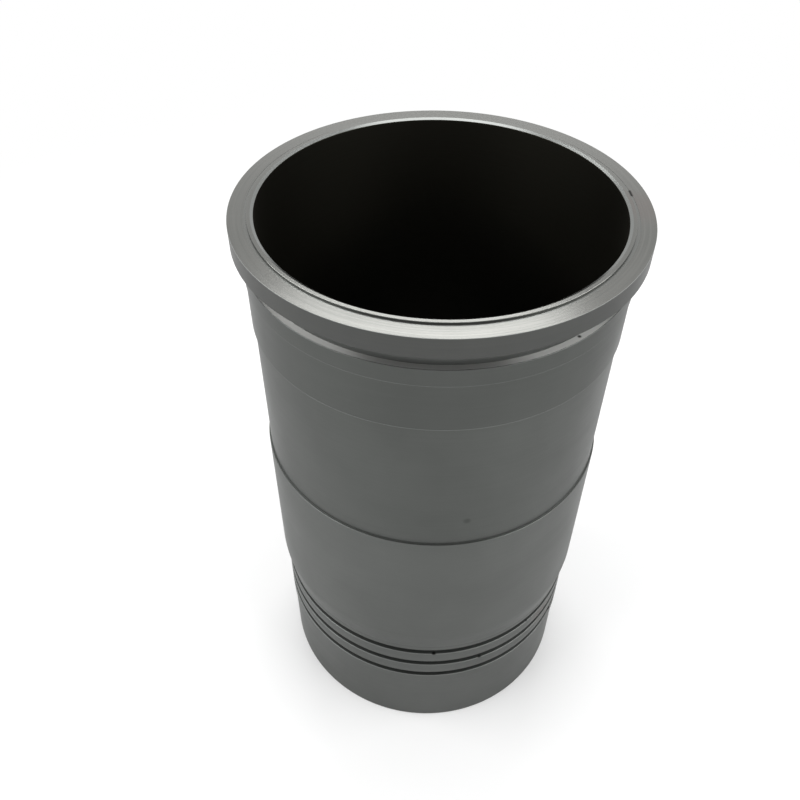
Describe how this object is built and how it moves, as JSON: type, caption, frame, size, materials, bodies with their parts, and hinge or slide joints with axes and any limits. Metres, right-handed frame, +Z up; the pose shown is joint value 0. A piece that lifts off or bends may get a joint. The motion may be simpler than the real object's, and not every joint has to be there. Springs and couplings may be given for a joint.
{
  "type": "cylinder liner",
  "caption": "Wet cylinder liner: a turned iron sleeve with a plain bore, a top flange with a raised fire lip, an undercut, pilot bands and seal grooves near its foot.",
  "frame": {"origin": "centre of the lower end face, on the bore axis", "axes": "+Z up along the bore axis, from the seal end towards the flange; +X and +Y are free, because the liner is turned"},
  "size_m": [0.171, 0.171, 0.2848],
  "materials": {
    "turned_iron": "fine-turned satin"
  },
  "bodies": {
    "root": {"cylinder_liner": "turned_iron"}
  },
  "joints": []
}
